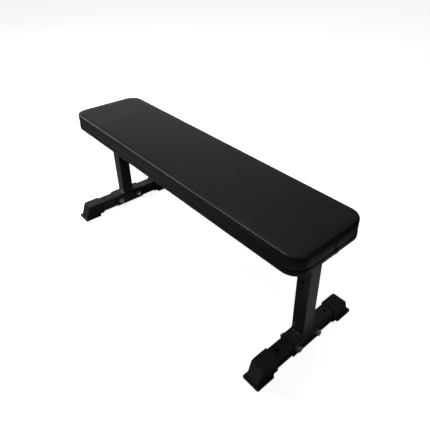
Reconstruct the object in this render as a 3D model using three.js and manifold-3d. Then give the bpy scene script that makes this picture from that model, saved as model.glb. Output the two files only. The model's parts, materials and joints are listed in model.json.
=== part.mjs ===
// A flat weight bench: one long upholstered pad on a welded and bolted frame of square steel tube.
//
// Millimetres. +X runs along the pad, +Y across it, +Z up. The origin is on the floor, under the middle
// of the pad. The -Y side is called the front, the +X end is called right and the -X end left.
//
// Every piece that touches another keeps CLEARANCE to it, so that no two pieces share space.

import * as THREE from "three";
import { mergeVertices } from "three/addons/utils/BufferGeometryUtils.js";
import Module from "manifold-3d";

const wasm = await Module();
wasm.setup();

// ---------------------------------------------------------------- driving dimensions

// Overall
const BENCH_HEIGHT = 440;
const PAD_LENGTH = 1134;
const PAD_WIDTH = 270;
const FOOT_SPAN = 420;
const CLEARANCE = 0.3;

// Pad
const PAD_THICKNESS = 58;
const PAD_END_TO_POST = 61.5;
const PAD_END_TO_SUPPORT = 237;
const PAD_CORNER_RADIUS = 48;
const PAD_EDGE_ROUND = 9;
const COVER_THICKNESS = 1.2;
const COVER_WRAP = 32;
const BOARD_THICKNESS = 15;

// Frame
const TUBE = 45;
const TUBE_WALL = 2;
const TUBE_CORNER_RADIUS = 3;
const CHANNEL_WALL = 4;
const CHANNEL_BEND_RADIUS = 5;
const SADDLE_LENGTH = 124;
const SADDLE_BOLT_SPACING = 86;
const CRADLE_LENGTH = 110;
const CRADLE_LIP = 5;
const CRADLE_BOLT_INSET = 20;
const PLUG_TO_BOLT = 4;
const POST_HOLE_DROP = 67;
const POST_HOLE_DIAMETER = 8;
const CAP_TO_FOOT_HOLE = 17.5;
const FOOT_HOLE_DIAMETER = 10;
const SUPPORT_LENGTH = 220;
const SUPPORT_WIDTH = 45;
const SUPPORT_THICKNESS = 4;
const SUPPORT_CORNER_RADIUS = 8;

// Foot caps
const FOOT_LIFT = 10;
const CAP_OVERLAP = 45;
const CAP_WALL = 2.6;
const CAP_BASE_FLARE = 5.6;
const CAP_BASE_LENGTH = 67;
const CAP_BASE_HEIGHT = 7.5;
const CAP_BASE_CORNER = 5;
const CAP_END_SLOPE = 20;
const CAP_LEDGE = 6;
const CAP_END_TAPER = 4.4;

// Tube end plugs
const PLUG_FLANGE = 4;
const PLUG_DEPTH = 18;
const PLUG_WALL = 3;

// Fasteners: M10 through the frame, M8 into the pad. Lengths follow from what each bolt passes through.
const FOOT_BOLT = { shank: 10, acrossFlats: 17, head: 6.4, nut: 9, washerDiameter: 21, washer: 2 };
const CRADLE_BOLT = { shank: 10, acrossFlats: 15, head: 7, nut: 9, flangeDiameter: 21.5, flange: 2 };
const PAD_BOLT = { shank: 8, acrossFlats: 13, head: 5.3, washerDiameter: 18, washer: 1.6 };
const PAD_BOLT_SPACING = 150;
const T_NUT = { wall: 0.7, barrelLength: 10, flangeDiameter: 22, flange: 1.5 };
const HOLE_ALLOWANCE = 1;
const BOLT_PROTRUSION = 3;

// Number of facets on round stretches
const SHANK_SIDES = 12;
const HOLE_SIDES = 16;
const RING_SIDES = 24;
const TUBE_CORNER_STEPS = 3;
const PAD_CORNER_STEPS = 8;
const PAD_EDGE_STEPS = 3;

// ---------------------------------------------------------------- levels and places worked out from them

const padBottom = BENCH_HEIGHT - PAD_THICKNESS;
const supportTop = padBottom - CLEARANCE;
const beamTop = supportTop - SUPPORT_THICKNESS - CLEARANCE;
const beamBottom = beamTop - TUBE;
const beamCentre = (beamTop + beamBottom) / 2;
const cradleTop = beamBottom - CLEARANCE;
const postTop = cradleTop - CHANNEL_WALL - CLEARANCE;
const footTop = FOOT_LIFT + TUBE;
const footCentre = FOOT_LIFT + TUBE / 2;
const saddleTop = footTop + CLEARANCE + CHANNEL_WALL;
const postBottom = saddleTop + CLEARANCE;
const postX = PAD_LENGTH / 2 - PAD_END_TO_POST;
const postOuterX = postX + TUBE / 2;
const beamEndX = postOuterX - PLUG_FLANGE - CLEARANCE;
const channelInside = TUBE + 2 * CLEARANCE;
const channelOutside = channelInside + 2 * CHANNEL_WALL;
const capTipY = FOOT_SPAN / 2;
const capEndTopY = capTipY - CAP_LEDGE - CAP_END_SLOPE;
const tubeEndY = capEndTopY - CAP_WALL - 2 * CAP_LEDGE;
const capStartY = tubeEndY - CAP_OVERLAP;
const footHoleY = capStartY - CAP_TO_FOOT_HOLE;
const sleeveWidth = TUBE + 2 * (CLEARANCE + CAP_WALL);
const boardBottom = padBottom + COVER_THICKNESS + CLEARANCE;
const boardTop = boardBottom + BOARD_THICKNESS;
const padInset = COVER_THICKNESS + CLEARANCE;
const supportX = PAD_LENGTH / 2 - PAD_END_TO_SUPPORT;
const padWasherTop = supportTop - SUPPORT_THICKNESS - CLEARANCE;
const padBoltSeat = padWasherTop - PAD_BOLT.washer - CLEARANCE;
const tNutTop = boardTop - CLEARANCE;
const tNutBore = PAD_BOLT.shank + 2 * CLEARANCE;
const tNutBarrel = tNutBore + 2 * T_NUT.wall;
const flankOffset = channelOutside / 2 + CLEARANCE;
const footBoltSeat = flankOffset + FOOT_BOLT.washer + CLEARANCE;
const footBoltLength = 2 * footBoltSeat + FOOT_BOLT.nut + BOLT_PROTRUSION;
const cradleBoltLength = 2 * flankOffset + CRADLE_BOLT.nut + BOLT_PROTRUSION;
const padBoltLength = tNutTop - T_NUT.flange - padBoltSeat;

const holeFor = (bolt) => bolt.shank + HOLE_ALLOWANCE;

// ---------------------------------------------------------------- geometry helpers

// A closed three.js geometry as a solid that can be joined and cut.
function solid(geometry) {
  const bare = geometry.index ? geometry.toNonIndexed() : geometry.clone();
  bare.deleteAttribute("normal");
  bare.deleteAttribute("uv");
  const merged = mergeVertices(bare, 1e-4);
  return new wasm.Manifold(
    new wasm.Mesh({
      numProp: 3,
      vertProperties: merged.attributes.position.array,
      triVerts: new Uint32Array(merged.index.array),
    }),
  );
}

// A solid as a three.js geometry with one normal for each facet.
function geometryOf(body) {
  const mesh = body.getMesh();
  const positions = new Float32Array(mesh.vertProperties);
  const geometry = new THREE.BufferGeometry();
  geometry.setAttribute("position", new THREE.BufferAttribute(positions, 3));
  geometry.setIndex(new THREE.BufferAttribute(new Uint32Array(mesh.triVerts), 1));
  const faceted = geometry.toNonIndexed();
  faceted.computeVertexNormals();
  return faceted;
}

function cutFrom(body, ...cutters) {
  return cutters.reduce((rest, cutter) => rest.subtract(cutter), body);
}

// A rectangle with round corners, centred on the origin.
function roundedRectangle(width, height, radius) {
  const x = width / 2;
  const y = height / 2;
  const outline = new THREE.Shape();
  outline.moveTo(-x + radius, -y);
  outline.lineTo(x - radius, -y);
  outline.absarc(x - radius, -y + radius, radius, -Math.PI / 2, 0, false);
  outline.lineTo(x, y - radius);
  outline.absarc(x - radius, y - radius, radius, 0, Math.PI / 2, false);
  outline.lineTo(-x + radius, y);
  outline.absarc(-x + radius, y - radius, radius, Math.PI / 2, Math.PI, false);
  outline.lineTo(-x, -y + radius);
  outline.absarc(-x + radius, -y + radius, radius, Math.PI, 1.5 * Math.PI, false);
  return outline;
}

// The outline of a pressed U channel, open downwards, with its web's underside at height 0.
function channelOutline(depth) {
  const half = channelOutside / 2;
  const inside = channelInside / 2;
  const bend = CHANNEL_BEND_RADIUS;
  const outline = new THREE.Shape();
  outline.moveTo(-half, -depth);
  outline.lineTo(-inside, -depth);
  outline.lineTo(-inside, 0);
  outline.lineTo(inside, 0);
  outline.lineTo(inside, -depth);
  outline.lineTo(half, -depth);
  outline.lineTo(half, CHANNEL_WALL - bend);
  outline.absarc(half - bend, CHANNEL_WALL - bend, bend, 0, Math.PI / 2, false);
  outline.lineTo(-half + bend, CHANNEL_WALL);
  outline.absarc(-half + bend, CHANNEL_WALL - bend, bend, Math.PI / 2, Math.PI, false);
  return outline;
}

// An outline drawn in X and Y, raised from zLow to zHigh.
function raise(outline, zLow, zHigh, steps = TUBE_CORNER_STEPS) {
  const geometry = new THREE.ExtrudeGeometry(outline, {
    depth: zHigh - zLow,
    bevelEnabled: false,
    curveSegments: steps,
  });
  return geometry.translate(0, 0, zLow);
}

// An outline drawn in Y (across) and Z (up), drawn out along X between two values.
function alongX(outline, xLow, xHigh) {
  const turn = new THREE.Matrix4().makeBasis(
    new THREE.Vector3(0, 1, 0),
    new THREE.Vector3(0, 0, 1),
    new THREE.Vector3(1, 0, 0),
  );
  return raise(outline, xLow, xHigh).applyMatrix4(turn);
}

// An outline drawn in X (across) and Z (up), drawn out along Y between two values.
function alongY(outline, yLow, yHigh) {
  const turn = new THREE.Matrix4().makeBasis(
    new THREE.Vector3(1, 0, 0),
    new THREE.Vector3(0, 0, 1),
    new THREE.Vector3(0, -1, 0),
  );
  return raise(outline, -yHigh, -yLow).applyMatrix4(turn);
}

function polygon(points) {
  return new THREE.Shape(points.map(([u, v]) => new THREE.Vector2(u, v)));
}

// Round bars along each axis, centred on a point: used as cutters for holes.
function barX(diameter, length, x, y, z) {
  const bar = new THREE.CylinderGeometry(diameter / 2, diameter / 2, length, HOLE_SIDES);
  return solid(bar.rotateZ(Math.PI / 2).translate(x, y, z));
}

function barY(diameter, length, x, y, z) {
  const bar = new THREE.CylinderGeometry(diameter / 2, diameter / 2, length, HOLE_SIDES);
  return solid(bar.translate(x, y, z));
}

function barZ(diameter, length, x, y, z) {
  const bar = new THREE.CylinderGeometry(diameter / 2, diameter / 2, length, HOLE_SIDES);
  return solid(bar.rotateX(Math.PI / 2).translate(x, y, z));
}

// The outer skin and the bore of a square tube, as outlines round its own axis.
const tubeSkin = () => roundedRectangle(TUBE, TUBE, TUBE_CORNER_RADIUS);
const tubeBoreWidth = TUBE - 2 * TUBE_WALL;
const tubeBore = () => roundedRectangle(tubeBoreWidth, tubeBoreWidth, TUBE_CORNER_RADIUS - TUBE_WALL);

// ---------------------------------------------------------------- materials

function material(color, roughness, metalness) {
  return new THREE.MeshStandardMaterial({ color, roughness, metalness });
}

const looks = {
  vinyl: () => material(0x1b1c1d, 0.5, 0),
  foam: () => material(0xd8d2b8, 0.95, 0),
  board: () => material(0xb08d5e, 0.8, 0),
  lining: () => material(0x1a1a1a, 0.95, 0),
  frame: () => material(0x26262a, 0.45, 0.3),
  zinc: () => material(0xc4c7c9, 0.3, 0.9),
  cap: () => material(0x1e1e1f, 0.8, 0),
  plug: () => material(0x161616, 0.6, 0),
};

function piece(name, geometry, look) {
  const mesh = new THREE.Mesh(geometry, looks[look]());
  mesh.name = name;
  return mesh;
}

// ---------------------------------------------------------------- pad

// The pad's outline pulled in by an inset, with its top edge rounded over.
function padBody(inset, zLow, zHigh) {
  const round = PAD_EDGE_ROUND - inset;
  const radius = PAD_CORNER_RADIUS - inset - round;
  const length = PAD_LENGTH - 2 * (inset + round);
  const width = PAD_WIDTH - 2 * (inset + round);
  const blank = new THREE.ExtrudeGeometry(roundedRectangle(length, width, radius), {
    depth: zHigh - zLow - round,
    bevelEnabled: true,
    bevelThickness: round,
    bevelSize: round,
    bevelSegments: PAD_EDGE_STEPS,
    curveSegments: PAD_CORNER_STEPS,
  });
  const trim = new THREE.BoxGeometry(PAD_LENGTH, PAD_WIDTH, 2 * round);
  return cutFrom(solid(blank.translate(0, 0, zLow)), solid(trim.translate(0, 0, zLow - round)));
}

function padPlate(inset, zLow, zHigh) {
  const outline = roundedRectangle(
    PAD_LENGTH - 2 * inset,
    PAD_WIDTH - 2 * inset,
    PAD_CORNER_RADIUS - inset,
  );
  return solid(raise(outline, zLow, zHigh, PAD_CORNER_STEPS));
}

// Where the four pad bolts stand.
const padBoltPlaces = [-1, 1].flatMap((end) =>
  [-1, 1].map((side) => ({
    x: end * supportX,
    y: (side * PAD_BOLT_SPACING) / 2,
    name: (end > 0 ? "right" : "left") + (side > 0 ? "_back" : "_front"),
  })),
);

function padHoles(diameter, zLow, zHigh) {
  return padBoltPlaces.map(({ x, y }) => barZ(diameter, zHigh - zLow, x, y, (zLow + zHigh) / 2));
}

function buildPad() {
  const pad = new THREE.Group();
  const foamTop = BENCH_HEIGHT - padInset;
  const foamBottom = boardTop + CLEARANCE;

  // Vinyl cover: a thin shell over the top and sides, turned under the board all round.
  const skin = padBody(0, padBottom, BENCH_HEIGHT);
  const hollow = padBody(COVER_THICKNESS, padBottom + COVER_THICKNESS, BENCH_HEIGHT - COVER_THICKNESS);
  const mouth = padPlate(COVER_WRAP, padBottom - 1, padBottom + 2 * COVER_THICKNESS);
  pad.add(piece("pad_cover", geometryOf(cutFrom(skin, hollow, mouth)), "vinyl"));

  pad.add(piece("pad_foam", geometryOf(padBody(padInset, foamBottom, foamTop)), "foam"));

  // Board, with a stepped hole for each T-nut.
  const recessDepth = T_NUT.flange + 2 * CLEARANCE;
  const board = cutFrom(
    padPlate(padInset, boardBottom, boardTop),
    ...padHoles(tNutBarrel + 2 * CLEARANCE, boardBottom - 1, boardTop + 1),
    ...padHoles(T_NUT.flangeDiameter + 2 * CLEARANCE, boardTop - recessDepth, boardTop + 1),
  );
  pad.add(piece("pad_board", geometryOf(board), "board"));

  // Lining: the thin cloth that closes the mouth of the cover under the board.
  const lining = cutFrom(
    padPlate(COVER_WRAP + CLEARANCE, padBottom, boardBottom - CLEARANCE),
    ...padHoles(holeFor(PAD_BOLT), padBottom - 1, boardBottom + 1),
  );
  pad.add(piece("pad_lining", geometryOf(lining), "lining"));

  for (const place of padBoltPlaces) {
    const tNut = piece("pad_t_nut_" + place.name, tNutGeometry(), "zinc");
    tNut.position.set(place.x, place.y, tNutTop);

    const washer = piece("pad_washer_" + place.name, washerGeometry(PAD_BOLT), "zinc");
    washer.position.set(place.x, place.y, padWasherTop - PAD_BOLT.washer);

    const bolt = piece("pad_bolt_" + place.name, boltGeometry(PAD_BOLT, padBoltLength), "zinc");
    bolt.position.set(place.x, place.y, padBoltSeat);

    pad.add(tNut, washer, bolt);
  }
  return pad;
}

// ---------------------------------------------------------------- fasteners, each standing along its own Z

// A hexagon head below height 0 and a shank above it. A flange, where there is one, is under the head.
function boltGeometry(bolt, length) {
  const corner = bolt.acrossFlats / Math.sqrt(3);
  const flangeRadius = (bolt.flangeDiameter ?? 0) / 2;
  const flange = bolt.flange ?? 0;
  const head = solid(hexagonBar(corner, bolt.head, -bolt.head / 2));
  const shank = solid(roundBar(bolt.shank / 2, length + 1, length / 2 - 0.5, SHANK_SIDES));
  const plain = head.add(shank);
  const rim = () => solid(roundBar(flangeRadius, flange, -flange / 2, RING_SIDES));
  return geometryOf(flange > 0 ? plain.add(rim()) : plain);
}

// A nut that starts at height 0, with its flange, where there is one, at its foot.
function nutGeometry(bolt) {
  const corner = bolt.acrossFlats / Math.sqrt(3);
  const flange = bolt.flange ?? 0;
  const body = solid(hexagonBar(corner, bolt.nut, bolt.nut / 2));
  const bore = solid(roundBar(bolt.shank / 2 + CLEARANCE, 3 * bolt.nut, 0, SHANK_SIDES));
  const rim = () => solid(roundBar(bolt.flangeDiameter / 2, flange, flange / 2, RING_SIDES));
  return geometryOf(cutFrom(flange > 0 ? body.add(rim()) : body, bore));
}

function washerGeometry(bolt) {
  const disc = solid(roundBar(bolt.washerDiameter / 2, bolt.washer, bolt.washer / 2, RING_SIDES));
  const bore = solid(roundBar(holeFor(bolt) / 2, 3 * bolt.washer, 0, HOLE_SIDES));
  return geometryOf(cutFrom(disc, bore));
}

// A T-nut hangs below height 0: a flat flange with a barrel under it, bored through.
function tNutGeometry() {
  const flange = solid(roundBar(T_NUT.flangeDiameter / 2, T_NUT.flange, -T_NUT.flange / 2, RING_SIDES));
  const reach = T_NUT.flange + T_NUT.barrelLength;
  const barrel = solid(roundBar(tNutBarrel / 2, reach, -reach / 2, SHANK_SIDES));
  const bore = solid(roundBar(tNutBore / 2, 3 * reach, 0, SHANK_SIDES));
  return geometryOf(cutFrom(flange.add(barrel), bore));
}

function roundBar(radius, height, middle, sides) {
  const bar = new THREE.CylinderGeometry(radius, radius, height, sides);
  return bar.rotateX(Math.PI / 2).translate(0, 0, middle);
}

function hexagonBar(corner, height, middle) {
  return roundBar(corner, height, middle, 6);
}

// ---------------------------------------------------------------- frame

const cradleBoltXs = [
  beamEndX - PLUG_DEPTH - PLUG_TO_BOLT - holeFor(CRADLE_BOLT) / 2,
  postOuterX - CRADLE_LENGTH + CRADLE_BOLT_INSET,
];
const saddleBoltYs = [-SADDLE_BOLT_SPACING / 2, SADDLE_BOLT_SPACING / 2];

function buildBeam() {
  const skin = solid(alongX(tubeSkin(), -beamEndX, beamEndX));
  const bore = solid(alongX(tubeBore(), -beamEndX - 1, beamEndX + 1));
  const holes = cradleBoltXs.flatMap((x) =>
    [-x, x].map((place) => barY(holeFor(CRADLE_BOLT), 2 * TUBE, place, 0, 0)),
  );
  const beam = piece("main_beam", geometryOf(cutFrom(skin, bore, ...holes)), "frame");
  beam.position.z = beamCentre;
  return beam;
}

// A flat bar across the beam that carries the pad.
function supportGeometry() {
  const outline = roundedRectangle(SUPPORT_WIDTH, SUPPORT_LENGTH, SUPPORT_CORNER_RADIUS);
  const bar = solid(raise(outline, -SUPPORT_THICKNESS, 0));
  const holes = [-1, 1].map((side) =>
    barZ(holeFor(PAD_BOLT), 4 * SUPPORT_THICKNESS, 0, (side * PAD_BOLT_SPACING) / 2, 0),
  );
  return geometryOf(cutFrom(bar, ...holes));
}

// The post stands along Z, with one small hole straight through it from front to back.
function postGeometry() {
  const skin = solid(raise(tubeSkin(), postBottom, postTop));
  const bore = solid(raise(tubeBore(), postBottom - 1, postTop + 1));
  const hole = barY(POST_HOLE_DIAMETER, 2 * TUBE, 0, 0, postTop - POST_HOLE_DROP);
  return geometryOf(cutFrom(skin, bore, hole));
}

// The foot tube lies along Y, with two holes in its top wall.
function footTubeGeometry() {
  const skin = solid(alongY(tubeSkin(), -tubeEndY, tubeEndY));
  const bore = solid(alongY(tubeBore(), -tubeEndY - 1, tubeEndY + 1));
  const boltHoles = saddleBoltYs.map((y) => barX(holeFor(FOOT_BOLT), 2 * TUBE, 0, y, 0));
  const topHoles = [-footHoleY, footHoleY].map((y) =>
    barZ(FOOT_HOLE_DIAMETER, TUBE, 0, y, TUBE / 2),
  );
  return geometryOf(cutFrom(skin, bore, ...boltHoles, ...topHoles));
}

// The channel on the post's foot: it straddles the foot tube and is bolted through it.
function saddleGeometry() {
  const channel = solid(alongY(channelOutline(TUBE), -SADDLE_LENGTH / 2, SADDLE_LENGTH / 2));
  const drop = -CLEARANCE - TUBE / 2;
  const holes = saddleBoltYs.map((y) => barX(holeFor(FOOT_BOLT), 3 * TUBE, 0, y, drop));
  return geometryOf(cutFrom(channel, ...holes));
}

// The channel on the post's head: it opens upwards, holds the end of the beam and is bolted through it.
function cradleGeometry() {
  const channel = alongX(channelOutline(TUBE - CRADLE_LIP), postOuterX - CRADLE_LENGTH, postOuterX);
  const upturned = solid(channel.applyMatrix4(new THREE.Matrix4().makeRotationX(Math.PI)));
  const rise = CLEARANCE + TUBE / 2;
  const holes = cradleBoltXs.map((x) => barY(holeFor(CRADLE_BOLT), 3 * TUBE, x, 0, rise));
  return geometryOf(cutFrom(upturned, ...holes));
}

// A plug that closes the beam's end: a flange the size of the tube and a hollow stub inside it.
function plugGeometry() {
  const flange = solid(alongX(tubeSkin(), beamEndX + CLEARANCE, postOuterX));
  const stubWidth = tubeBoreWidth - 2 * CLEARANCE;
  const stubStart = beamEndX - PLUG_DEPTH;
  const stub = solid(alongX(roundedRectangle(stubWidth, stubWidth, 1), stubStart, postOuterX - 1));
  const pocketWidth = stubWidth - 2 * PLUG_WALL;
  const pocket = roundedRectangle(pocketWidth, pocketWidth, 1);
  return geometryOf(cutFrom(flange.add(stub), solid(alongX(pocket, stubStart - 1, beamEndX))));
}

// ---------------------------------------------------------------- foot cap

// The cap on the +Y end of a foot tube: a sleeve over the tube, an end face that slopes out to the
// floor, and a wider sole. Its local X is across the tube.
function capGeometry() {
  const sleeveTop = footTop + CLEARANCE + CAP_WALL;
  const sleeveBottom = FOOT_LIFT - CLEARANCE - CAP_WALL;
  const slopeFootY = capTipY - CAP_LEDGE;
  const side = polygon([
    [capStartY, sleeveBottom],
    [slopeFootY, sleeveBottom],
    [slopeFootY, CAP_BASE_HEIGHT],
    [capEndTopY, sleeveTop],
    [capStartY, sleeveTop],
  ]);
  const sleeveHalf = sleeveWidth / 2;
  const endHalf = sleeveHalf - CAP_END_TAPER;
  const plan = polygon([
    [-sleeveHalf, capStartY - 1],
    [sleeveHalf, capStartY - 1],
    [sleeveHalf, tubeEndY],
    [endHalf, capTipY],
    [-endHalf, capTipY],
    [-sleeveHalf, tubeEndY],
  ]);
  const upper = solid(alongX(side, -TUBE, TUBE)).intersect(solid(raise(plan, 0, sleeveTop + 1)));
  const soleWidth = sleeveWidth + 2 * CAP_BASE_FLARE;
  const soleOutline = roundedRectangle(soleWidth, CAP_BASE_LENGTH, CAP_BASE_CORNER);
  const sole = raise(soleOutline, 0, CAP_BASE_HEIGHT).translate(0, capTipY - CAP_BASE_LENGTH / 2, 0);
  const pocketWidth = TUBE + 2 * CLEARANCE;
  const pocketOutline = roundedRectangle(pocketWidth, pocketWidth, TUBE_CORNER_RADIUS);
  const pocket = alongY(pocketOutline, capStartY - 2, tubeEndY + CLEARANCE).translate(0, 0, footCentre);
  return geometryOf(cutFrom(upper.add(solid(sole)), solid(pocket)));
}

// ---------------------------------------------------------------- one end of the bench

// Everything at the +X end. The left end is the same, turned half round about Z.
function buildEnd(endName, frontName, backName) {
  const end = new THREE.Group();
  const sides = [
    { name: endName + "_" + frontName, sign: -1 },
    { name: endName + "_" + backName, sign: 1 },
  ];
  const add = (name, geometry, look, x, y, z) => {
    const mesh = piece(name, geometry, look);
    mesh.position.set(x, y, z);
    end.add(mesh);
    return mesh;
  };

  add("post_" + endName, postGeometry(), "frame", postX, 0, 0);
  add("foot_tube_" + endName, footTubeGeometry(), "frame", postX, 0, footCentre);
  add("foot_saddle_" + endName, saddleGeometry(), "frame", postX, 0, footTop + CLEARANCE);
  add("beam_cradle_" + endName, cradleGeometry(), "frame", 0, 0, cradleTop);
  add("beam_plug_" + endName, plugGeometry(), "plug", 0, 0, beamCentre);
  add("pad_support_" + endName, supportGeometry(), "frame", supportX, 0, supportTop);

  // Foot bolts run along X, with their heads on the outside of the bench.
  const footBolt = boltGeometry(FOOT_BOLT, footBoltLength);
  const footNut = nutGeometry(FOOT_BOLT);
  const footWasher = washerGeometry(FOOT_BOLT);
  const outerWasherX = postX + flankOffset;
  const innerWasherX = postX - flankOffset - FOOT_BOLT.washer;
  for (const { name, sign } of sides) {
    const y = (sign * SADDLE_BOLT_SPACING) / 2;
    const bolt = add("foot_bolt_" + name, footBolt, "zinc", postX + footBoltSeat, y, footCentre);
    const nut = add("foot_nut_" + name, footNut, "zinc", postX - footBoltSeat, y, footCentre);
    bolt.rotation.y = -Math.PI / 2;
    nut.rotation.y = -Math.PI / 2;
    const outer = add(`foot_washer_${name}_outer`, footWasher, "zinc", outerWasherX, y, footCentre);
    const inner = add(`foot_washer_${name}_inner`, footWasher, "zinc", innerWasherX, y, footCentre);
    outer.rotation.y = Math.PI / 2;
    inner.rotation.y = Math.PI / 2;
  }

  // Cradle bolts run along Y, with their heads at the front.
  const cradleBolt = boltGeometry(CRADLE_BOLT, cradleBoltLength);
  const cradleNut = nutGeometry(CRADLE_BOLT);
  cradleBoltXs.forEach((x, index) => {
    const name = endName + (index === 0 ? "_outer" : "_inner");
    const bolt = add("cradle_bolt_" + name, cradleBolt, "zinc", x, -flankOffset, beamCentre);
    const nut = add("cradle_nut_" + name, cradleNut, "zinc", x, flankOffset, beamCentre);
    bolt.rotation.x = -Math.PI / 2;
    nut.rotation.x = -Math.PI / 2;
  });

  for (const { name, sign } of sides) {
    const cap = add("foot_cap_" + name, capGeometry(), "cap", postX, 0, 0);
    cap.rotation.z = sign > 0 ? 0 : Math.PI;
  }
  return end;
}

// ---------------------------------------------------------------- the bench

const bench = new THREE.Group();
const rightEnd = buildEnd("right", "front", "back");
const leftEnd = buildEnd("left", "back", "front");
leftEnd.rotation.z = Math.PI;
bench.add(buildPad(), buildBeam(), rightEnd, leftEnd);

export default bench;
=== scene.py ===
"""The looks of the flat weight bench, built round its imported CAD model. Metres, +Z up, the CAD's frame."""

import json
import math

import bmesh
import bpy
import numpy as np
from mathutils import Matrix, Vector


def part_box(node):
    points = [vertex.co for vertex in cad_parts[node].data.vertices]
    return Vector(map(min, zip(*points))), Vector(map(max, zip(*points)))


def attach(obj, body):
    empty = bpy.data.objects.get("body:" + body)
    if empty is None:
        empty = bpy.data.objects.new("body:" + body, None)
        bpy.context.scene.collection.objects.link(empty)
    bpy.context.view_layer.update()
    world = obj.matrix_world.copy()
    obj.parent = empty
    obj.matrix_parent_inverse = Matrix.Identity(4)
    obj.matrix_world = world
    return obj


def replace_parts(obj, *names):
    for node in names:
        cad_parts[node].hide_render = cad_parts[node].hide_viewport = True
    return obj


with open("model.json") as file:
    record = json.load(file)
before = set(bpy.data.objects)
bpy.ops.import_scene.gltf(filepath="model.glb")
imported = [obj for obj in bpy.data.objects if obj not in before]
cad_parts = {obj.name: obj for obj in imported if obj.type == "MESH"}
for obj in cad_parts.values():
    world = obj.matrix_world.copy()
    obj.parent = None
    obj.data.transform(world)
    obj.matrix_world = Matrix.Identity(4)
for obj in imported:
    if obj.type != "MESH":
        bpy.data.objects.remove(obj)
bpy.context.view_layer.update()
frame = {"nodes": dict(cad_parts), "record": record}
nodes = frame["nodes"]
scene = bpy.context.scene

# ---------------------------------------------------------------- sizes of the looks, in metres

# The pad's shape, and the spacing of the skin's points.
PAD_CORNER = 0.048
PAD_TOP_ROUND = 0.0052
PAD_BOTTOM_ROUND = 0.0028
PAD_STEP = 0.0065

# The vinyl skin: how far it is wrapped under the board, and how far it stands off the foam.
COVER_THICKNESS = 0.0012
COVER_WRAP = 0.032
SKIN_GAP = 0.0003
PLEAT_DEPTH = 0.0009

# The hem is the folded vinyl under the edge; the strip is the band beside the board.
HEM_DROP = 0.0013
HEM_WIDTH = 0.019
STRIP_OUT = 0.0009

# The swelling of the skin. The simulation starts from a skin that is a little too small.
PAD_START_SHRINK = 0.0004
TOP_SWELL_CAP = 0.0009
SIDE_SWELL_CAP = 0.0028
SWELL_SMOOTHING = 4

# The sewn seam under the top edge, and the crease over the board's upper edge.
SEAM_DROP = 0.0076
SEAM_DEPTH = 0.0015
SEAM_WIDTH = 0.0011
BOARD_LEVEL = 0.0178
CREASE_DEPTH = 0.0011
CREASE_WIDTH = 0.0021

# The upright seam on the right end, with the tuck at its foot. Columns of points are close together there.
END_SEAM_Y = 0.005
END_SEAM_WIDTH = 0.0027
END_SEAM_DEPTH = 0.0034
END_COLUMNS = (-0.0056, -0.0042, -0.0028, -0.0014, 0, 0.0014, 0.0028, 0.0042, 0.0056, 0.0076, 0.0096, 0.012)
END_CLEAR_FRONT = 0.0075
END_CLEAR_BACK = 0.0145
TUCK_Y = 0.012
TUCK_HEIGHT = 0.0026
TUCK_WIDTH = 0.0045
TUCK_LEVEL = 0.0075

# Stitches and staples.
STITCH_LENGTH = 0.0033
STITCH_PITCH = 0.0050
STITCH_RADIUS = 0.00035
STITCH_DROP = 0.0034
STAPLE_PITCH = 0.034
STAPLE_LENGTH = 0.0105
STAPLE_WIRE = 0.00055
STAPLE_RISE = 0.0005
STAPLE_LEG = 0.0015
STAPLE_INSET = 0.024

# Edges and welds of the frame.
EDGE_BEVEL = 0.0006
CAP_BEVEL = 0.0013
TUBE_CORNER = 0.003
WELD_SIZE = 0.0030
WELD_RIPPLE = 0.0021
WELD_STEP = 0.0005

# Fasteners.
FOOT_BOLT = {"across_flats": 0.017, "head": 0.0064, "shank": 0.010, "pitch": 0.0015}
CRADLE_BOLT = {"across_flats": 0.015, "head": 0.007, "shank": 0.010, "pitch": 0.0015, "flange": 0.0215}
PAD_BOLT = {"across_flats": 0.013, "head": 0.0053, "shank": 0.008, "pitch": 0.00125}
THREAD_LENGTH = 0.0065
BORE_PLAY = 0.0001
FLANGE_TOP = 0.0021
TURNED_SIDES = 48

# Half the side of the floor, and the radius of the dome over it.
FLOOR_REACH = 12.5
DOME_RADIUS = 13

# A pool of light is painted into the colour of the bounce floor round this point, past the front left: that
# sheet is paler the nearer it is to it.
PAINTED_POOL_MIDDLE = (-0.66, -0.32, 0)

# The glow of the surroundings by elevation, in degrees, as (elevation, brightness).
HORIZON_GLOW = ((0, 0.0), (6, 0.02), (20, 0.02), (90, 0.004))


# ---------------------------------------------------------------- camera, floor and light

def make_camera():
    back = direction(47.38, 32.43)
    roll = math.radians(0.54)
    level = (-back).cross(Vector((0, 0, 1))).normalized()
    rise = level.cross(-back)
    right = level * math.cos(roll) + rise * math.sin(roll)
    up = rise * math.cos(roll) - level * math.sin(roll)
    data = bpy.data.cameras.new("camera")
    data.sensor_width = 36
    data.lens = 35.73
    data.shift_x = -0.0529
    data.shift_y = -0.0680
    data.clip_start = 0.05
    data.clip_end = 100
    camera = bpy.data.objects.new("camera", data)
    turn = Matrix((right, up, back)).transposed()
    camera.matrix_world = Matrix.Translation((0.9898, -0.7073, 1.0849)) @ turn.to_4x4()
    scene.collection.objects.link(camera)
    scene.camera = camera


def make_sheet(name, low, high, height, look):
    """A level rectangle between two corners, given as (x, y)."""
    mesh = bpy.data.meshes.new(name)
    corners = [(low[0], low[1], height), (high[0], low[1], height), (high[0], high[1], height)]
    corners.append((low[0], high[1], height))
    mesh.from_pydata(corners, [], [(0, 1, 2, 3)])
    mesh.materials.append(look.material)
    sheet = bpy.data.objects.new(name, mesh)
    scene.collection.objects.link(sheet)
    return sheet


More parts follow.
